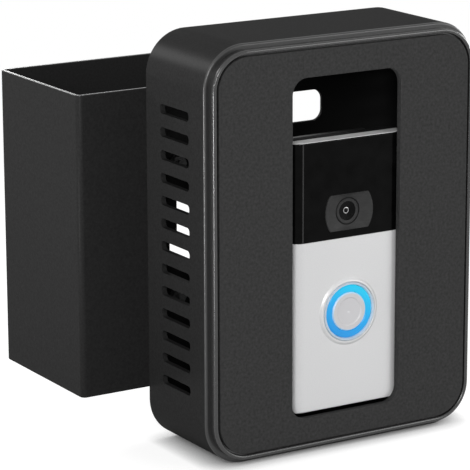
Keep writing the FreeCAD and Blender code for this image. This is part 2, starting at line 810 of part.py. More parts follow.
def make_ir_leds():
    """Domed lamps that look out through holes in the chassis."""
    leds = []
    for x, z in ir_led_places():
        y0 = camera_board_front - ir_led_length
        dome = Part.makeSphere(ir_led_radius, V(x, y0, z))
        leds.append(fuse(dome, rod(x, z, y0, camera_board_front, ir_led_radius)))
    return leds


# ---- button -------------------------------------------------------------------------------------
def turned(points):
    """A solid of revolution about the button's axis; points are radius, y."""
    wire = Part.makePolygon([V(bell_centre_x + r, y, button_z) for r, y in points + points[:1]])
    return Part.Face(wire).revolve(V(bell_centre_x, 0, button_z), V(0, 1, 0), 360)


bezel_seat = bell_front - button_lip_rise - 0.02
bezel_top = bell_front - bezel_ring_proud
light_top = bell_front - light_proud
cap_top = bell_front - cap_proud
cap_back = cap_top + cap_thick
plunger_front = cap_back + 2.6
switch_front = plunger_front + plunger_height - 0.4


def make_button_bezel():
    """The light outer rim: it hooks over the faceplate's hole and stands proud of it."""
    mid = (bezel_ring_outer + bezel_ring_inner) / 2
    return turned([
        (bezel_ring_outer, bezel_seat), (mid + 0.3, bezel_top), (mid - 0.3, bezel_top),
        (bezel_ring_inner, bell_front - 0.4), (bezel_ring_inner, ring_seat),
        (bezel_stem, ring_seat), (bezel_stem, bezel_seat),
    ])


def make_light_ring():
    return turned([
        (light_outer, light_top + 0.5), (light_outer - 0.5, light_top), (light_inner + 0.4, light_top),
        (light_inner, light_top + 0.4), (light_inner, ring_seat + 0.1), (light_outer, ring_seat + 0.1),
    ])


def make_button_cap():
    dish_y = cap_top + cap_dish_depth
    stem_end = plunger_front
    return turned([
        (cap_radius, cap_top + 0.4), (cap_radius - 0.4, cap_top), (cap_dish_radius + 0.5, cap_top),
        (cap_dish_radius, dish_y), (0.0, dish_y + 0.15), (0.0, stem_end), (cap_stem_radius, stem_end),
        (cap_stem_radius, cap_back), (cap_radius, cap_back),
    ])


def make_led_board():
    return tube(bell_centre_x, button_z, led_board_front, led_board_back, bezel_stem, light_inner + 0.7)


def make_led_chips():
    middle = (light_outer + light_inner) / 2
    chips = []
    for i in range(8):
        angle = (i + 0.5) * math.pi / 4
        x = bell_centre_x + middle * math.cos(angle)
        z = button_z + middle * math.sin(angle)
        chips.append(box(x - 0.9, x + 0.9, led_board_front - 0.7, led_board_front, z - 0.9, z + 0.9))
    return chips


def make_button_gasket():
    return tube(bell_centre_x, button_z, led_board_back, cup_floor, bezel_stem, light_inner + 0.9)


def make_tact_switch():
    half = switch_size / 2
    body = box(bell_centre_x - half, bell_centre_x + half, switch_front, main_board_front,
               button_z - half, button_z + half)
    return body.cut(rod(bell_centre_x, button_z, switch_front - 1, switch_front + button_travel + 0.8,
                        plunger_radius + 0.05))


def make_switch_plunger():
    return rod(bell_centre_x, button_z, plunger_front, plunger_front + plunger_height, plunger_radius)


# ---- boards and other inner pieces --------------------------------------------------------------
def make_main_board():
    board = slab(bell_centre_x, bell_mid_z, main_board_width, main_board_height, main_board_front,
                 main_board_back, 2.0)
    for x, z in board_post_places():
        board = board.cut(rod(x, z, main_board_front - 1, main_board_back + 1, 1.1))
    for x, z in bell_post_places():
        board = board.cut(rod(x, z, main_board_front - 1, main_board_back + 1, bell_post_radius + 0.4))
    return board


def make_battery_pack():
    return slab(bell_centre_x, (battery_low + battery_high) / 2, bell_width - 2 * battery_side_inset,
                battery_high - battery_low, battery_front, battery_back, 3.0)


def make_speaker():
    z = bell_bottom + 16.0
    body = rod(bell_centre_x, z, main_board_back, main_board_back + speaker_thick, speaker_radius)
    return body.cut(rod(bell_centre_x, z, main_board_back + speaker_thick - 0.8,
                        main_board_back + speaker_thick + 1, speaker_radius - 1.6))


def make_microphone():
    x = bell_centre_x + main_board_width / 2 - board_post_inset - microphone_post_gap
    return rod(x, bell_bottom + 14.0, main_board_front - 1.2, main_board_front, 2.2)


def make_motion_sensor():
    x, z = bell_centre_x, motion_z
    return fuse(rod(x, z, main_board_front - 0.8, main_board_front, 4.6),
                rod(x, z, chassis_front + 0.6, main_board_front - 0.8, 4.2))


def make_usb_port():
    y0 = case_seat - rear_case_wall - 0.6
    port = slab(bell_centre_x, usb_z, 9.0, 3.4, y0, case_seat - 0.2, 1.5)
    return port.cut(slab(bell_centre_x, usb_z, 8.2, 2.6, y0 + 0.5, case_seat + 1, 1.2))


def make_terminal_screws():
    screws = []
    for x, z in terminal_places():
        head = rod(x, z, case_seat, case_seat + 1.4, 3.0)
        head = head.cut(box(x - 4, x + 4, case_seat + 0.8, case_seat + 2, z - 0.4, z + 0.4))
        screws.append(fuse(head, rod(x, z, case_seat - 2.6, case_seat, 1.5)))
    return screws


def make_security_screw():
    head = Part.makeCylinder(2.6, 1.2, V(bell_centre_x, security_y, bell_bottom - 1.2), V(0, 0, 1))
    shank = Part.makeCylinder(1.5, 5.0, V(bell_centre_x, security_y, bell_bottom), V(0, 0, 1))
    socket = Part.makeCylinder(1.1, 0.9, V(bell_centre_x, security_y, bell_bottom - 1.3), V(0, 0, 1))
    return fuse(head, shank).cut(socket)


def main():
    os.makedirs("parts", exist_ok=True)
    save("case_shell", make_case_shell())
    save("front_frame", make_front_frame())
    save("front_plate", make_front_plate())
    save("cover_studs", *make_cover_studs())
    save("cover_nuts", *make_cover_nuts())
    save("back_plate", make_back_plate())
    save("case_screws", *make_case_screws())
    save("door_bracket", make_door_bracket())
    save("bracket_bolts", *make_bracket_bolts())
    save("bracket_nuts", *make_bracket_nuts())
    save("door_pads", *make_door_pads())
    save("weld_nuts", *make_weld_nuts())
    for end, (x, z) in zip(("upper", "lower"), clamp_screw_places()):
        save("clamp_screw_" + end, make_clamp_screw(x, z))
        save("tip_clip_" + end, make_tip_clip(x, z))
    save("clamp_plate", make_clamp_plate())
    save("clamp_pad", make_clamp_pad())
    save("bell_carrier", make_bell_carrier())
    save("carrier_rivets", *make_carrier_rivets())
    save("bell_mounting_plate", make_mounting_plate())
    save("mount_screws", *make_mount_screws())
    save("bell_rear_case", make_bell_rear_case())
    save("bell_chassis", make_bell_chassis())
    save("bell_gasket", make_bell_gasket())
    save("bell_case_screws", *make_bell_case_screws())
    save("lens_panel", make_lens_panel())
    save("faceplate", make_faceplate())
    save("security_screw", make_security_screw())
    save("camera_bezel", make_camera_bezel())
    save("lens_barrel", make_lens_barrel())
    save("lens_front", make_lens_front())
    save("lens_rear", make_lens_rear())
    save("image_sensor", make_image_sensor())
    save("camera_board", make_camera_board())
    save("ir_leds", *make_ir_leds())
    save("motion_sensor", make_motion_sensor())
    save("main_board", make_main_board())
    save("battery_pack", make_battery_pack())
    save("speaker", make_speaker())
    save("microphone", make_microphone())
    save("usb_port", make_usb_port())
    save("terminal_screws", *make_terminal_screws())
    save("button_bezel", make_button_bezel())
    save("light_ring", make_light_ring())
    save("led_board", make_led_board())
    save("led_chips", *make_led_chips())
    save("button_gasket", make_button_gasket())
    save("button_cap", make_button_cap())
    save("tact_switch", make_tact_switch())
    save("switch_plunger", make_switch_plunger())


main()
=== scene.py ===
"""Video doorbell in an anti-theft door mount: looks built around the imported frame. Metres, +Z up."""
import math

import bmesh
import bpy
from mathutils import Matrix, Vector


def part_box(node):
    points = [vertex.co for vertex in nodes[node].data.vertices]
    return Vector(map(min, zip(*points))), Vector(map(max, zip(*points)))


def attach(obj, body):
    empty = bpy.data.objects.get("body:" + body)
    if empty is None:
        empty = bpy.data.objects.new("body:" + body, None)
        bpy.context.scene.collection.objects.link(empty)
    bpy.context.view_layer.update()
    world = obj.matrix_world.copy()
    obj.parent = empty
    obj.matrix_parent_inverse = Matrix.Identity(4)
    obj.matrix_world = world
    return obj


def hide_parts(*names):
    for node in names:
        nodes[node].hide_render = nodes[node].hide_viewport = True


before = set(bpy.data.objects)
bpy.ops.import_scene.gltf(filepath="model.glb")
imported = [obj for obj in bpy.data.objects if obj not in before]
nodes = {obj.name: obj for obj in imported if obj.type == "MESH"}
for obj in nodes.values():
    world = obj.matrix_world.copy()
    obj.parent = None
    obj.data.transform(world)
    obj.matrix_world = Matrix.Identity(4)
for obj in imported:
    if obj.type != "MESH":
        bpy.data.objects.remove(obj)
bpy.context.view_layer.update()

mm = 0.001

# ---- materials ------------------------------------------------------------------------------------


def new_material(name):
    material = bpy.data.materials.new(name)
    material.use_nodes = True
    tree = material.node_tree
    return material, tree, tree.nodes["Principled BSDF"]


def link(tree, a, out, b, into):
    tree.links.new(a.outputs[out], b.inputs[into])


def coordinates(tree, stretch=(1, 1, 1)):
    """The row frame's own coordinates in millimetres, stretched per axis."""
    source = tree.nodes.new("ShaderNodeTexCoord")
    mapping = tree.nodes.new("ShaderNodeMapping")
    mapping.inputs["Scale"].default_value = [1000 * s for s in stretch]
    link(tree, source, "Object", mapping, "Vector")
    return mapping


def noise(tree, period_mm, detail=2.0, stretch=(1, 1, 1), rough=0.5):
    texture = tree.nodes.new("ShaderNodeTexNoise")
    texture.inputs["Scale"].default_value = 1.0 / period_mm
    texture.inputs["Detail"].default_value = detail
    texture.inputs["Roughness"].default_value = rough
    link(tree, coordinates(tree, stretch), "Vector", texture, "Vector")
    return texture


def ramp(tree, source, stops):
    """A colour ramp; each stop is a place from 0 to 1 and a colour."""
    node = tree.nodes.new("ShaderNodeValToRGB")
    elements = node.color_ramp.elements
    while len(elements) < len(stops):
        elements.new(0.5)
    for element, (place, colour) in zip(elements, stops):
        element.position = place
        element.color = (*colour, 1.0)
    tree.links.new(source, node.inputs["Fac"])
    return node.outputs["Color"]


def grey(value):
    return (value, value, value)


def varied(tree, bsdf, colour, spread, period_mm, stretch=(1, 1, 1)):
    """Base colour that drifts a little either side of colour."""
    texture = noise(tree, period_mm, 3.0, stretch)
    low = [c * (1 - spread) for c in colour]
    high = [c * (1 + spread) for c in colour]
    tree.links.new(ramp(tree, texture.outputs["Fac"], [(0.3, low), (0.7, high)]),
                   bsdf.inputs["Base Color"])


def roughened(tree, bsdf, low, high, period_mm, stretch=(1, 1, 1)):
    texture = noise(tree, period_mm, 2.0, stretch)
    tree.links.new(ramp(tree, texture.outputs["Fac"], [(0.3, grey(low)), (0.7, grey(high))]),
                   bsdf.inputs["Roughness"])


def bump(tree, bsdf, height, depth_mm, strength=1.0):
    node = tree.nodes.new("ShaderNodeBump")
    node.inputs["Strength"].default_value = strength
    node.inputs["Distance"].default_value = depth_mm * mm
    tree.links.new(height, node.inputs["Height"])
    tree.links.new(node.outputs["Normal"], bsdf.inputs["Normal"])


def place_band(tree, axis, middle, half_width, soft):
    """1 within half_width of a plane at middle across one axis, fading to 0 over soft. Millimetres."""
    split = tree.nodes.new("ShaderNodeSeparateXYZ")
    link(tree, coordinates(tree), "Vector", split, "Vector")
    away = tree.nodes.new("ShaderNodeMath")
    away.operation = "SUBTRACT"
    away.inputs[1].default_value = middle
    link(tree, split, axis, away, 0)
    size = tree.nodes.new("ShaderNodeMath")
    size.operation = "ABSOLUTE"
    link(tree, away, 0, size, 0)
    band = tree.nodes.new("ShaderNodeMapRange")
    band.inputs["From Min"].default_value = half_width
    band.inputs["From Max"].default_value = half_width + soft
    band.inputs["To Min"].default_value = 1.0
    band.inputs["To Max"].default_value = 0.0
    link(tree, size, 0, band, "Value")
    return band.outputs["Result"]


def mixed(tree, factor, a, b, into):
    """Colour a where factor is 0, b where it is 1, into a socket; a and b are sockets or colours."""
    node = tree.nodes.new("ShaderNodeMix")
    node.data_type = "RGBA"
    tree.links.new(factor, node.inputs[0])
    for socket, value in ((node.inputs[6], a), (node.inputs[7], b)):
        if isinstance(value, tuple):
            socket.default_value = (*value, 1.0)
        else:
            tree.links.new(value, socket)
    tree.links.new(node.outputs[2], into)


def powder_coat(name, colour, rough, grain_mm, depth_mm, specular, shine, shine_rough, spread=0.2,
                worn=None, shine_ior=1.5):
    """Baked powder coat: a fine orange-peel grain, mottled colour and a thin smooth skin of shine.

    worn is a band where the coat is rubbed to a full shine; its colour stays the same.
    """
    material, tree, bsdf = new_material(name)
    varied(tree, bsdf, colour, spread, grain_mm * 1.6)
    roughened(tree, bsdf, rough - 0.05, rough + 0.05, grain_mm * 3)
    bsdf.inputs["Specular IOR Level"].default_value = specular
    bsdf.inputs["Coat Weight"].default_value = shine
    if worn:
        rubbed = tree.nodes.new("ShaderNodeMapRange")
        rubbed.inputs["To Min"].default_value = shine
        rubbed.inputs["To Max"].default_value = 1.0
        tree.links.new(place_band(tree, *worn), rubbed.inputs["Value"])
        link(tree, rubbed, "Result", bsdf, "Coat Weight")
    bsdf.inputs["Coat Roughness"].default_value = shine_rough
    bsdf.inputs["Coat IOR"].default_value = shine_ior
    bump(tree, bsdf, noise(tree, grain_mm, 3.0).outputs["Fac"], depth_mm)
    return material


def plastic(name, colour, rough, specular=0.5, grain_mm=0.5, depth_mm=0.004, spread=0.06):
    material, tree, bsdf = new_material(name)
    varied(tree, bsdf, colour, spread, 6.0)
    roughened(tree, bsdf, max(rough - 0.04, 0.02), rough + 0.04, 3.0)
    bsdf.inputs["Specular IOR Level"].default_value = specular
    bump(tree, bsdf, noise(tree, grain_mm, 2.0).outputs["Fac"], depth_mm)
    return material


def gloss_black(name, highlight_x, matte_y):
    """Piano-black plastic, matte behind matte_y, with a faint pale line painted in across X as a highlight
    along the panel's left rounding.
    """
    material, tree, bsdf = new_material(name)
    texture = noise(tree, 8.0, 2.0)
    black = ramp(tree, texture.outputs["Fac"], [(0.3, grey(0.001)), (0.7, grey(0.003))])
    # painted highlight: a pale band across X stands in for the light caught where the panel starts to round
    # off on the left
    mixed(tree, place_band(tree, "X", highlight_x, 0.12, 0.3), black, grey(0.045), bsdf.inputs["Base Color"])
    gloss = ramp(tree, noise(tree, 9.0, 2.0).outputs["Fac"], [(0.3, grey(0.10)), (0.7, grey(0.15))])
    mixed(tree, place_band(tree, "Y", matte_y + 20, 20, 0.2), gloss, grey(0.9), bsdf.inputs["Roughness"])
    bsdf.inputs["Specular IOR Level"].default_value = 0.05
    bump(tree, bsdf, noise(tree, 12.0, 1.0).outputs["Fac"], 0.01)
    return material


def zinc(name, colour=(0.5, 0.51, 0.53), rough=0.32):
    """Bright zinc plate with fine turning marks."""
    material, tree, bsdf = new_material(name)
    varied(tree, bsdf, colour, 0.12, 2.0)
    roughened(tree, bsdf, rough - 0.08, rough + 0.1, 0.8)
    bsdf.inputs["Metallic"].default_value = 1.0
    bump(tree, bsdf, noise(tree, 0.25, 3.0).outputs["Fac"], 0.006)
    return material


def rubber(name, colour=grey(0.018)):
    material, tree, bsdf = new_material(name)
    varied(tree, bsdf, colour, 0.25, 1.2)
    roughened(tree, bsdf, 0.72, 0.88, 1.5)
    bsdf.inputs["Specular IOR Level"].default_value = 0.3
    bump(tree, bsdf, noise(tree, 0.35, 4.0).outputs["Fac"], 0.03)
    return material


def board(name):
    """Solder-masked board: green with darker copper runs."""
    material, tree, bsdf = new_material(name)
    brick = tree.nodes.new("ShaderNodeTexBrick")
    brick.inputs["Scale"].default_value = 1.0
    brick.inputs["Brick Width"].default_value = 7.0
    brick.inputs["Row Height"].default_value = 2.2
    brick.inputs["Mortar Size"].default_value = 0.25
    brick.inputs["Color1"].default_value = (0.012, 0.085, 0.035, 1)
    brick.inputs["Color2"].default_value = (0.010, 0.075, 0.030, 1)
    brick.inputs["Mortar"].default_value = (0.03, 0.16, 0.06, 1)
    turned = coordinates(tree)
    turned.inputs["Rotation"].default_value = (math.radians(90), 0, 0)
    link(tree, turned, "Vector", brick, "Vector")
    link(tree, brick, "Color", bsdf, "Base Color")
    roughened(tree, bsdf, 0.25, 0.4, 3.0)
    bump(tree, bsdf, brick.outputs["Fac"], 0.03, 0.4)
    return material


def silver(name):
    """Satin silver lacquer: fine metal flake in a smooth clear coat."""
    material, tree, bsdf = new_material(name)
    varied(tree, bsdf, (0.64, 0.64, 0.645), 0.035, 0.5)
    roughened(tree, bsdf, 0.30, 0.38, 0.6)
    bsdf.inputs["Metallic"].default_value = 0.12
    bsdf.inputs["Specular IOR Level"].default_value = 0.45
    bump(tree, bsdf, noise(tree, 0.3, 2.0).outputs["Fac"], 0.003)
    return material


def glass(name, tint=(0.75, 0.8, 0.95)):
    material, tree, bsdf = new_material(name)
    varied(tree, bsdf, tint, 0.04, 2.0)
    roughened(tree, bsdf, 0.0, 0.03, 4.0)
    bsdf.inputs["Transmission Weight"].default_value = 1.0
    bsdf.inputs["IOR"].default_value = 1.52
    return material


def brushed(name, colour):
    """Dark plastic, finely brushed across."""
    material, tree, bsdf = new_material(name)
    brush = noise(tree, 0.9, 3.0, (0.12, 1, 1))
    dark = tuple(0.75 * part for part in colour)
    streaks = ramp(tree, brush.outputs["Fac"], [(0.3, dark), (0.7, colour)])
    tree.links.new(streaks, bsdf.inputs["Base Color"])
    roughened(tree, bsdf, 0.45, 0.55, 2.0)
    bsdf.inputs["Specular IOR Level"].default_value = 0.12
    bump(tree, bsdf, brush.outputs["Fac"], 0.01)
    return material


def lit_ring(name, centre):
    """Light guide, lit from behind: cyan at the top right, deeper blue at the bottom left."""
    material, tree, bsdf = new_material(name)
    place = tree.nodes.new("ShaderNodeMapping")
    place.vector_type = "POINT"
    span = 26 * mm
    place.inputs["Location"].default_value = (-centre.x / span * 0.5 + 0.5, 0, -centre.z / span + 0.5)
    place.inputs["Scale"].default_value = (0.5 / span, 0, 1 / span)
    source = tree.nodes.new("ShaderNodeTexCoord")
    link(tree, source, "Object", place, "Vector")
    split = tree.nodes.new("ShaderNodeSeparateXYZ")
    link(tree, place, "Vector", split, "Vector")
    total = tree.nodes.new("ShaderNodeMath")
    total.operation = "ADD"
    link(tree, split, "X", total, 0)
    link(tree, split, "Z", total, 1)
    half = tree.nodes.new("ShaderNodeMath")
    half.operation = "MULTIPLY_ADD"
    half.inputs[1].default_value = 0.72
    half.inputs[2].default_value = -0.22
    link(tree, total, 0, half, 0)
    stops = [(0.1, (0.016, 0.29, 0.70)), (0.5, (0.014, 0.39, 0.82)), (0.9, (0.012, 0.63, 0.90))]
    tree.links.new(ramp(tree, half.outputs[0], stops), bsdf.inputs["Emission Color"])
    dark = [(0.1, (0.006, 0.05, 0.15)), (0.9, (0.006, 0.09, 0.15))]
    tree.links.new(ramp(tree, half.outputs[0], dark), bsdf.inputs["Base Color"])
    bsdf.inputs["Emission Strength"].default_value = 0.82
    bsdf.inputs["Roughness"].default_value = 0.3
    bsdf.inputs["Specular IOR Level"].default_value = 0.3
    return material


def lit_edge(name, centre, colour, glow_colour, radius_mm):
    """Satin plastic with a painted glow beyond radius_mm of a line along Y, for the light of the ring beside
    it bleeding in.
    """
    material, tree, bsdf = new_material(name)
    source = tree.nodes.new("ShaderNodeTexCoord")
    away = tree.nodes.new("ShaderNodeVectorMath")
    away.operation = "SUBTRACT"
    away.inputs[1].default_value = (centre.x, 0, centre.z)
    link(tree, source, "Object", away, 0)
    flat = tree.nodes.new("ShaderNodeVectorMath")
    flat.operation = "MULTIPLY"
    flat.inputs[1].default_value = (1, 0, 1)
    link(tree, away, 0, flat, 0)
    length = tree.nodes.new("ShaderNodeVectorMath")
    length.operation = "LENGTH"
    link(tree, flat, 0, length, 0)
    edge = tree.nodes.new("ShaderNodeMapRange")
    edge.inputs["From Min"].default_value = radius_mm * mm
    edge.inputs["From Max"].default_value = (radius_mm + 0.3) * mm
    link(tree, length, "Value", edge, "Value")
    # painted glow: the pale blue edge colour stands in for the ring's light bleeding into the plastic
    mixed(tree, edge.outputs["Result"], colour, glow_colour, bsdf.inputs["Base Color"])
    roughened(tree, bsdf, 0.32, 0.4, 3.0)
    bump(tree, bsdf, noise(tree, 0.5, 2.0).outputs["Fac"], 0.003)
    return material


def assign(material, *names):
    for name in names:
        data = nodes[name].data
        data.materials.clear()
        data.materials.append(material)


panel_low, panel_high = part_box("lens_panel")
bezel_low, bezel_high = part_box("camera_bezel")
ring_low, ring_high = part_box("light_ring")
ring_centre = (ring_low + ring_high) / 2
# where the panel's painted highlight line lies, in millimetres from the panel's left side
panel_highlight_inset = 6.1
panel_highlight_x = panel_low.x / mm + panel_highlight_inset
# depth of the painted reflection strip on the panel's top, behind which the top turns matte
reflection_strip_depth = 6.5
cap_glow_radius = 8.35

shell_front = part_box("case_shell")[0].y / mm
bracket_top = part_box("door_bracket")[1].z / mm
coat = powder_coat("case_powder", grey(0.020), 0.75, 0.55, 0.02, 0.0, 0.07, 0.30,
                   worn=("Y", shell_front, 0.8, 0.3))
bead_coat = powder_coat("frame_powder", grey(0.015), 0.70, 0.6, 0.010, 0.02, 0.7, 0.24, shine_ior=1.75)
plate_coat = powder_coat("plate_powder", grey(0.021), 0.70, 0.8, 0.04, 0.18, 0.06, 0.32, 0.35)
bracket_coat = powder_coat("bracket_powder", grey(0.016), 0.70, 0.6, 0.02, 0.03, 0.04, 0.30,
                           worn=("Z", bracket_top, 0.2, 0.3))
# a darker copy of the black powder coat for the parts inside the case: painted shade for the dark inside
shaded_inside_coat = powder_coat("inside_powder_shaded", grey(0.004), 0.7, 0.6, 0.02, 0.05, 0.06, 0.4)
black_steel = plastic("black_steel", grey(0.014), 0.35, 0.5, 0.3, 0.006)
zinc_plate = zinc("zinc_plate")
pad_rubber = rubber("pad_rubber")
seal_rubber = rubber("seal_rubber", grey(0.03))
black_plastic = plastic("black_plastic", grey(0.006), 0.5, 0.2)
panel_gloss = gloss_black("panel_gloss", panel_highlight_x, panel_low.y / mm + reflection_strip_depth)
# pale grey for the painted reflection strip on the panel's top
reflection_strip_plastic = plastic("reflection_strip_plastic", grey(0.62), 0.45, 0.4)
camera_plastic = brushed("camera_plastic", grey(0.036))
lens_black = plastic("lens_black", grey(0.0015), 0.3, 0.08, 0.4, 0.002)
pupil_metal = zinc("pupil_metal", grey(0.5), 0.3)
silver_coat = silver("silver_coat")
button_plastic = lit_edge("button_plastic", ring_centre, (0.57, 0.565, 0.58), (0.50, 0.66, 0.80),
                          cap_glow_radius)
# pale rim plastic with a painted blue tint for the ring's light shining through it
rim_glow_plastic = plastic("rim_glow_plastic", (0.50, 0.58, 0.66), 0.3, 0.5, 0.5, 0.003)
blue_light = lit_ring("blue_light", ring_centre)
lens_glass = glass("lens_glass")
green_board = board("green_board")
chip_black = plastic("chip_black", grey(0.012), 0.5)
led_lens = plastic("led_lens", (0.7, 0.72, 0.75), 0.15)
battery_wrap = plastic("battery_wrap", (0.02, 0.04, 0.10), 0.28)

assign(coat, "case_shell")
assign(bead_coat, "front_frame")
assign(plate_coat, "front_plate")
assign(bracket_coat, "door_bracket", "clamp_plate")
assign(shaded_inside_coat, "back_plate", "bell_carrier")
assign(black_steel, "case_screws", "bracket_bolts", "bracket_nuts", "clamp_screw_upper", "clamp_screw_lower",
       "security_screw")
assign(zinc_plate, "cover_studs", "cover_nuts", "weld_nuts", "tip_clip_upper",
       "tip_clip_lower", "carrier_rivets", "mount_screws", "bell_case_screws", "motion_sensor",
       "microphone", "usb_port", "terminal_screws")
assign(pad_rubber, "door_pads", "clamp_pad")
assign(seal_rubber, "bell_gasket", "button_gasket")
assign(black_plastic, "bell_mounting_plate", "bell_rear_case", "bell_chassis")
assign(panel_gloss, "lens_panel")
assign(silver_coat, "faceplate")
assign(camera_plastic, "camera_bezel", "lens_barrel")
assign(lens_glass, "lens_front", "lens_rear")
assign(chip_black, "image_sensor", "speaker", "tact_switch", "switch_plunger")
assign(green_board, "camera_board", "main_board", "led_board")
assign(led_lens, "ir_leds", "led_chips")
assign(battery_wrap, "battery_pack")
assign(rim_glow_plastic, "button_bezel")
assign(blue_light, "light_ring")
assign(button_plastic, "button_cap")

# ---- edges of the carried-over nodes --------------------------------------------------------------


def ease_edges(width_mm, *names):
    """Break a sheet-metal part's sharp edges by a small round, so that they catch the light."""
    for name in names:
        weld = nodes[name].modifiers.new("weld", "WELD")
        weld.merge_threshold = 0.002 * mm
        round_off = nodes[name].modifiers.new("edge_round", "BEVEL")
        round_off.width = width_mm * mm
        round_off.segments = 2
        round_off.limit_method = "ANGLE"
        round_off.angle_limit = math.radians(40)
        round_off.use_clamp_overlap = False
        round_off.harden_normals = True


ease_edges(0.3, "door_bracket", "clamp_plate")

# ---- pieces built here ----------------------------------------------------------------------------


def make_piece(name, form, material, body, slot_name, *replaced):
    """Turn a finished form into a piece that rides on a body and stands for CAD nodes."""
    mesh = bpy.data.meshes.new(name)
    bmesh.ops.recalc_face_normals(form, faces=form.faces)
    form.to_mesh(mesh)
    form.free()
    mesh.shade_smooth()
    mesh.set_sharp_from_angle(angle=math.radians(38))
    mesh.materials.append(material)
    piece = bpy.data.objects.new(name, mesh)
    bpy.context.scene.collection.objects.link(piece)
    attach(piece, body)
    if replaced:
        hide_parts(*replaced)
    return piece


def loft(form, rings, closed):
    """Join rings of places into a skin; a closed skin's last ring joins its first, else ends are capped."""
    rows = [[form.verts.new(place) for place in ring] for ring in rings]
    pairs = list(zip(rows, rows[1:]))
    if closed:
        pairs.append((rows[-1], rows[0]))
    count = len(rows[0])
    for low, high in pairs:
        for i in range(count):
            j = (i + 1) % count
            form.faces.new((low[i], low[j], high[j], high[i]))
    if not closed:
        form.faces.new(rows[0])
        form.faces.new(rows[-1])


def turned(form, centre, profile, count=96, closed=True, radius_at=None):
    """Revolve (radius, depth) points in millimetres about a line along Y through centre.

    radius_at(angle, radius, depth) may change each point's radius, for knurls, threads and sockets.
    """
    rings = []
    for radius, depth in profile:
        ring = []
        for i in range(count):
            angle = 2 * math.pi * i / count
            r = radius_at(angle, radius, depth) if radius_at else radius
            ring.append(Vector((centre.x + r * mm * math.cos(angle), depth * mm,
                                centre.z + r * mm * math.sin(angle))))
        rings.append(ring)
    loft(form, rings, closed)


# camera

camera_centre = (bezel_low + bezel_high) / 2
bezel_half_width = (bezel_high.x - bezel_low.x) / 2 / mm
bezel_half_height = (bezel_high.z - bezel_low.z) / 2 / mm
bezel_bulge = 2.6
dish_radius = 6.5
dish_depth = 1.7


def bezel_reach(angle):
    """How far the bezel's outline is from its centre: flat above and below, bowed at the sides."""
    shoulder = bezel_half_width - bezel_bulge
    arc = (bezel_bulge ** 2 + bezel_half_height ** 2) / (2 * bezel_bulge)
    middle = bezel_half_width - arc
    across, up = abs(math.cos(angle)), abs(math.sin(angle))
    on_arc = middle * across + math.sqrt(arc ** 2 - (middle * up) ** 2)
    if on_arc * across < shoulder - 0.001:
        return bezel_half_height / up
    return min(on_arc, bezel_half_height / up if up > 0.001 else on_arc)


def make_camera_face():
    """The bezel: a shallow dish from a rounded rim down to the ring round the lens."""
    front = bezel_low.y / mm
    rear = bezel_high.y / mm
    foot_share = 0.92
    foot_drop = 0.03
    rim = [(1.0, 0.30), (0.985, 0.08), (0.955, 0.0), (foot_share, foot_drop)]
    steps = 10
    count = 160
    rings = []

    def ring_at(share, depth):
        """share 1 is the outline and 0 is the dish's foot."""
        ring = []
        for i in range(count):
            angle = 2 * math.pi * (i + 0.5) / count
            r = dish_radius + (bezel_reach(angle) - dish_radius) * share
            ring.append(Vector((camera_centre.x + r * mm * math.cos(angle), depth * mm,
                                camera_centre.z + r * mm * math.sin(angle))))
        return ring

    rings.append(ring_at(1.0, rear))
    for share, drop in rim:
        rings.append(ring_at(share, front + drop))
    for step in range(1, steps + 1):
        share = foot_share * (1 - step / steps)
        sunk = (1 - share / foot_share) ** 0.8
        rings.append(ring_at(share, front + foot_drop + (dish_depth - foot_drop) * sunk))
    rings.append(ring_at(0.0, rear))
    form = bmesh.new()
    loft(form, rings, True)
    make_piece("camera_face", form, camera_plastic, "mount", "camera_grey", "camera_bezel")


def make_lens():
    """A ridged ring, a stepped black funnel and the small bright rim of the innermost lens."""
    face = bezel_low.y / mm + dish_depth
    ring = bmesh.new()
    turned(ring, camera_centre, [
        (5.9, face + 0.7), (5.9, face + 0.1), (5.8, face - 0.05), (5.45, face), (5.40, face + 0.14),
        (5.30, face + 0.14), (5.25, face + 0.06), (4.80, face + 0.12), (4.55, face + 0.2),
        (4.5, face + 0.45),
        (4.5, face + 0.7)])
    make_piece("lens_ring", ring, camera_plastic, "mount", "camera_grey")

    profile = [(6.45, face + 1.3), (6.45, face + 0.75), (4.45, face + 0.7)]
    radius, depth = 4.4, face + 0.5
    while radius > 2.2:
        profile += [(radius, depth), (radius - 0.12, depth), (radius - 0.16, depth + 0.12),
                    (radius - 0.55, depth + 0.16)]
        radius -= 0.55
        depth += 0.18
    floor_depth = depth + 0.1
    profile += [(1.9, depth), (1.8, floor_depth), (0.3, floor_depth), (0.3, floor_depth + 1.0),
                (3.0, floor_depth + 1.0)]
    funnel = bmesh.new()
    turned(funnel, camera_centre, profile)
    make_piece("lens_funnel", funnel, lens_black, "mount", "lens_glass", "lens_barrel")

    rim = bmesh.new()
    turned(rim, camera_centre, [(1.48, floor_depth + 0.05), (1.44, floor_depth - 0.24),
                                (1.28, floor_depth - 0.30), (1.12, floor_depth - 0.20),
                                (1.06, floor_depth + 0.05)], 64)
    make_piece("pupil_rim", rim, pupil_metal, "mount", "camera_grey")

    eye = bmesh.new()
    eye_radius = 1.02
    eye_rise = 0.45
    profile = [(eye_radius, floor_depth + 0.05)]
    for t in (0.2, 0.5, 0.8, 1.1, 1.35, 1.5):
        profile.append((eye_radius * math.cos(t), floor_depth - eye_rise * math.sin(t)))
    turned(eye, camera_centre, profile, 48, closed=False)
    make_piece("pupil_glass", eye, lens_black, "mount", "lens_glass", "lens_front")


def make_button_lip():
    """The raised silver rim that the button's light rim stands in."""
    flat = panel_low.y / mm
    form = bmesh.new()
    turned(form, ring_centre, [
        (14.05, flat + 0.1), (14.05, flat - 0.75), (14.25, flat - 0.95), (14.6, flat - 0.98),
        (15.0, flat - 0.82), (15.4, flat - 0.5), (15.75, flat - 0.16), (16.0, flat - 0.02),
        (16.0, flat + 0.1)])
    make_piece("button_lip", form, silver_coat, "mount", "bell_silver")


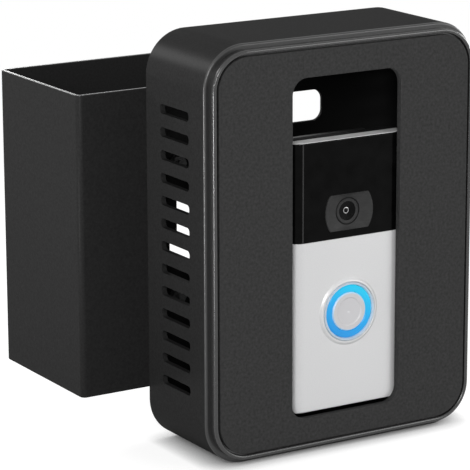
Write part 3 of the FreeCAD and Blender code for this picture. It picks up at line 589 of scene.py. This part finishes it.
def make_painted_top_reflection():
    """A pale strip along the front of the black panel's top: a painted reflection of the light that the
    glossy top catches at a grazing angle.
    """
    deep = 7.0
    round_mm = 7.0
    inset = 0.35
    left, right = panel_low.x / mm + inset, panel_high.x / mm - inset
    front = panel_low.y / mm + inset
    corner = round_mm - inset
    outline = []
    steps = 14
    for i in range(steps + 1):
        angle = math.pi / 2 * i / steps
        outline.append((left + corner * (1 - math.sin(angle)), front + corner * (1 - math.cos(angle))))
    outline.reverse()
    for i in range(steps + 1):
        angle = math.pi / 2 * i / steps
        outline.append((right - corner * (1 - math.sin(angle)), front + corner * (1 - math.cos(angle))))
    outline = [(x, min(y, front + deep - inset)) for x, y in outline]
    top = panel_high.z / mm
    middle_x = (left + right) / 2
    middle_y = front + deep / 2

    def level(share, z):
        return [Vector((middle_x + (x - middle_x) * share, middle_y + (y - middle_y) * share, z)) * mm
                for x, y in outline]

    form = bmesh.new()
    loft(form, [level(1.0, top - 0.3), level(1.0, top + 0.12), level(0.992, top + 0.22)], False)
    make_piece("panel_top_reflection", form, reflection_strip_plastic, "mount", "bell_silver")


# clamp screws

def make_clamp_screw(name, body):
    """Knurled socket-head screw with a rolled thread."""
    low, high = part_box(name)
    centre = (low + high) / 2
    near, far = low.y / mm, high.y / mm
    head, head_radius, shank, tip = 6.0, 7.0, 3.0, 2.4
    socket, socket_depth = 5.0, 3.5
    pitch, thread_depth = 1.0, 0.28
    knurls = 44
    seat = far - head

    def radius_at(angle, radius, depth):
        if abs(radius - head_radius) < 0.01:
            return radius - 0.12 - 0.11 * math.cos(knurls * angle)
        if radius == socket:
            turn = (angle + math.pi / 6) % (math.pi / 3) - math.pi / 6
            return socket / 2 / math.cos(turn)
        if radius == shank:
            phase = (depth / pitch - angle / (2 * math.pi)) % 1.0
            return shank - thread_depth * abs(2 * phase - 1) ** 0.8
        return radius

    profile = [(tip - 0.4, near), (tip, near + 0.4), (tip, near + 2.2)]
    profile += [(shank, near + 2.6 + 0.125 * i) for i in range(int((seat - near - 3.4) / 0.125))]
    profile += [(shank - 0.05, seat - 0.4), (shank - 0.05, seat), (head_radius - 0.7, seat)]
    profile += [(head_radius, seat + 0.4), (head_radius, far - 0.7), (head_radius - 0.7, far - 0.05),
                (head_radius - 1.2, far), (3.3, far), (socket, far - 0.3), (socket, far - socket_depth),
                (0.8, far - socket_depth - 0.4)]
    form = bmesh.new()
    turned(form, centre, profile, 4 * knurls, closed=False, radius_at=radius_at)
    make_piece(name + "_detail", form, black_steel, body, "black_steel", name)


# rubber pads

def ribbed_pad(form, low, high, rib_side):
    """A flat pad whose door side is moulded in soft ribs along X; rib_side is -1 or 1 along Y."""
    pitch, rib = 2.4, 0.45
    near, far = low.y / mm, high.y / mm
    base, face = (near, far) if rib_side > 0 else (far, near)
    z0, z1 = low.z / mm, high.z / mm
    x0, x1 = low.x / mm, high.x / mm
    count = int((z1 - z0 - 2) / pitch)
    margin = (z1 - z0 - count * pitch) / 2
    steps = 6
    outline = [(base, z0), (face - rib_side * 0.6, z0), (face - rib_side * rib, z0 + 0.3)]
    for i in range(count):
        for j in range(steps + 1):
            share = j / steps
            rise = rib * math.sin(math.pi * share) ** 0.6
            outline.append((face - rib_side * (rib - rise), z0 + margin + (i + share * 0.8 + 0.1) * pitch))
    outline += [(face - rib_side * rib, z1 - 0.3), (face - rib_side * 0.6, z1), (base, z1)]
    inset = 0.4
    middle_y, middle_z = (near + far) / 2, (z0 + z1) / 2

    def section(x, share):
        return [Vector((x * mm, (middle_y + (y - middle_y) * share) * mm,
                        (middle_z + (z - middle_z) * (1 - (1 - share) * 0.1)) * mm)) for y, z in outline]

    loft(form, [section(x0, 0.75), section(x0 + inset, 1.0), section(x1 - inset, 1.0), section(x1, 0.75)],
         False)


def solid_boxes(name):
    """The box of each separate solid of a node, left to right."""
    source = bmesh.new()
    source.from_mesh(nodes[name].data)
    bmesh.ops.remove_doubles(source, verts=source.verts, dist=0.001 * mm)
    unseen = set(source.verts)
    boxes = []
    while unseen:
        stack = [unseen.pop()]
        places = []
        while stack:
            vert = stack.pop()
            places.append(vert.co.copy())
            for edge in vert.link_edges:
                other = edge.other_vert(vert)
                if other in unseen:
                    unseen.remove(other)
                    stack.append(other)
        low = Vector([min(p[i] for p in places) for i in range(3)])
        high = Vector([max(p[i] for p in places) for i in range(3)])
        boxes.append((low, high))
    source.free()
    return sorted(boxes, key=lambda pair: pair[0].x)


def make_pads():
    for name, body, side in (("door_pads", "mount", 1), ("clamp_pad", "clamp", -1)):
        form = bmesh.new()
        for low, high in solid_boxes(name):
            ribbed_pad(form, low, high, side)
        make_piece(name + "_ribbed", form, pad_rubber, body, "pad_rubber", name)


make_camera_face()
make_lens()
make_painted_top_reflection()
make_button_lip()
make_clamp_screw("clamp_screw_upper", "screw_upper")
make_clamp_screw("clamp_screw_lower", "screw_lower")
make_pads()

# ---- floor, world, lamps --------------------------------------------------------------------------


def seen_white(tree):
    """1 for camera, glossy and transmission rays, 0 for the rest."""
    path = tree.nodes.new("ShaderNodeLightPath")
    result = path.outputs["Is Camera Ray"]
    for ray in ("Is Glossy Ray", "Is Transmission Ray"):
        largest = tree.nodes.new("ShaderNodeMath")
        largest.operation = "MAXIMUM"
        tree.links.new(result, largest.inputs[0])
        tree.links.new(path.outputs[ray], largest.inputs[1])
        result = largest.outputs[0]
    return result


def make_floor():
    """A plain pale disc that keeps the shadow and fades into the white behind it; near the object ambient
    occlusion darkens its glow as a painted contact shadow.
    """
    radius = 1.1
    albedo = 0.36
    fade_from = 0.25
    fade_to = 0.6
    mesh = bpy.data.meshes.new("floor")
    form = bmesh.new()
    bmesh.ops.create_circle(form, cap_ends=True, radius=radius, segments=96)
    form.to_mesh(mesh)
    form.free()
    floor = bpy.data.objects.new("floor", mesh)
    floor.location = (-0.02, 0.03, -0.0002)
    bpy.context.scene.collection.objects.link(floor)
    material, tree, bsdf = new_material("floor_white")
    bsdf.inputs["Base Color"].default_value = (albedo, albedo, albedo, 1)
    bsdf.inputs["Roughness"].default_value = 0.9
    bsdf.inputs["Specular IOR Level"].default_value = 0.0
    bsdf.inputs["Emission Color"].default_value = (1, 1, 1, 1)
    strength = tree.nodes.new("ShaderNodeMath")
    strength.operation = "MULTIPLY"
    tree.links.new(seen_white(tree), strength.inputs[0])
    # painted contact shadow: ambient occlusion darkens the floor's glow close to the object
    painted_contact_shadow = tree.nodes.new("ShaderNodeAmbientOcclusion")
    painted_contact_shadow.inputs["Distance"].default_value = painted_shadow_reach
    painted_contact_shadow.samples = 8
    glow = tree.nodes.new("ShaderNodeMath")
    glow.operation = "MULTIPLY"
    glow.inputs[1].default_value = floor_glow
    link(tree, painted_contact_shadow, "AO", glow, 0)
    link(tree, glow, 0, strength, 1)
    link(tree, strength, 0, bsdf, "Emission Strength")
    source = tree.nodes.new("ShaderNodeTexCoord")
    length = tree.nodes.new("ShaderNodeVectorMath")
    length.operation = "LENGTH"
    link(tree, source, "Object", length, 0)
    fade = tree.nodes.new("ShaderNodeMapRange")
    fade.inputs["From Min"].default_value = fade_from
    fade.inputs["From Max"].default_value = fade_to
    link(tree, length, "Value", fade, "Value")
    clear = tree.nodes.new("ShaderNodeBsdfTransparent")
    mix = tree.nodes.new("ShaderNodeMixShader")
    link(tree, fade, 0, mix, 0)
    link(tree, bsdf, 0, mix, 1)
    link(tree, clear, 0, mix, 2)
    tree.links.new(mix.outputs[0], tree.nodes["Material Output"].inputs["Surface"])
    mesh.materials.append(material)


def make_world(ambient):
    world = bpy.data.worlds.new("studio")
    bpy.context.scene.world = world
    world.use_nodes = True
    tree = world.node_tree
    background = tree.nodes["Background"]
    background.inputs["Color"].default_value = (1, 1, 1, 1)
    strength = tree.nodes.new("ShaderNodeMapRange")
    strength.inputs["To Min"].default_value = ambient
    tree.links.new(seen_white(tree), strength.inputs["Value"])
    link(tree, strength, 0, background, "Strength")


def softbox(name, place, target, width, height, watts):
    lamp = bpy.data.lights.new(name, "AREA")
    lamp.shape = "RECTANGLE"
    lamp.size = width
    lamp.size_y = height
    lamp.energy = watts
    obj = bpy.data.objects.new(name, lamp)
    obj.location = place
    obj.rotation_euler = (Vector(target) - Vector(place)).to_track_quat("-Z", "Y").to_euler()
    obj.visible_camera = False
    bpy.context.scene.collection.objects.link(obj)


def make_camera():
    """The viewing angle is fixed by where the camera stands; the long lens frames the object."""
    yaw = math.radians(31.45)
    pitch = math.radians(14.02)
    roll = -0.0034
    data = bpy.data.cameras.new("camera")
    data.lens = 206.3
    data.sensor_width = 36.0
    data.clip_start = 0.05
    camera = bpy.data.objects.new("camera", data)
    camera.location = (-0.6637, -1.0178, 0.3976)
    ahead = Vector((math.sin(yaw) * math.cos(pitch), math.cos(yaw) * math.cos(pitch), -math.sin(pitch)))
    level = ahead.to_track_quat("-Z", "Y").to_matrix().to_4x4()
    turn = Matrix.Rotation(roll, 4, "Z")
    camera.matrix_world = Matrix.Translation(camera.location) @ level @ turn
    bpy.context.scene.collection.objects.link(camera)
    bpy.context.scene.camera = camera


floor_glow = 0.78
# how far the painted contact shadow on the floor reaches, in metres
painted_shadow_reach = 0.010
ambient_strength = 0.35
make_camera()
make_world(ambient_strength)
make_floor()
aim = (0, 0, 0.1)
softbox("key", (-1.0, -1.25, 0.75), aim, 0.6, 0.6, 17)
softbox("fill", (1.1, -1.2, 0.5), aim, 0.8, 0.8, 9)
softbox("edge_left", (-1.15, -0.12, -0.15), aim, 0.2, 0.5, 12)
softbox("back_top", (-0.48, 1.17, 0.68), aim, 0.45, 0.3, 5.5)
softbox("right_side", (1.5, 0.3, 0.35), aim, 0.7, 0.7, 20)
softbox("behind", (0.25, 1.6, 0.30), aim, 0.7, 0.7, 18)
bpy.context.scene.view_settings.view_transform = "Standard"
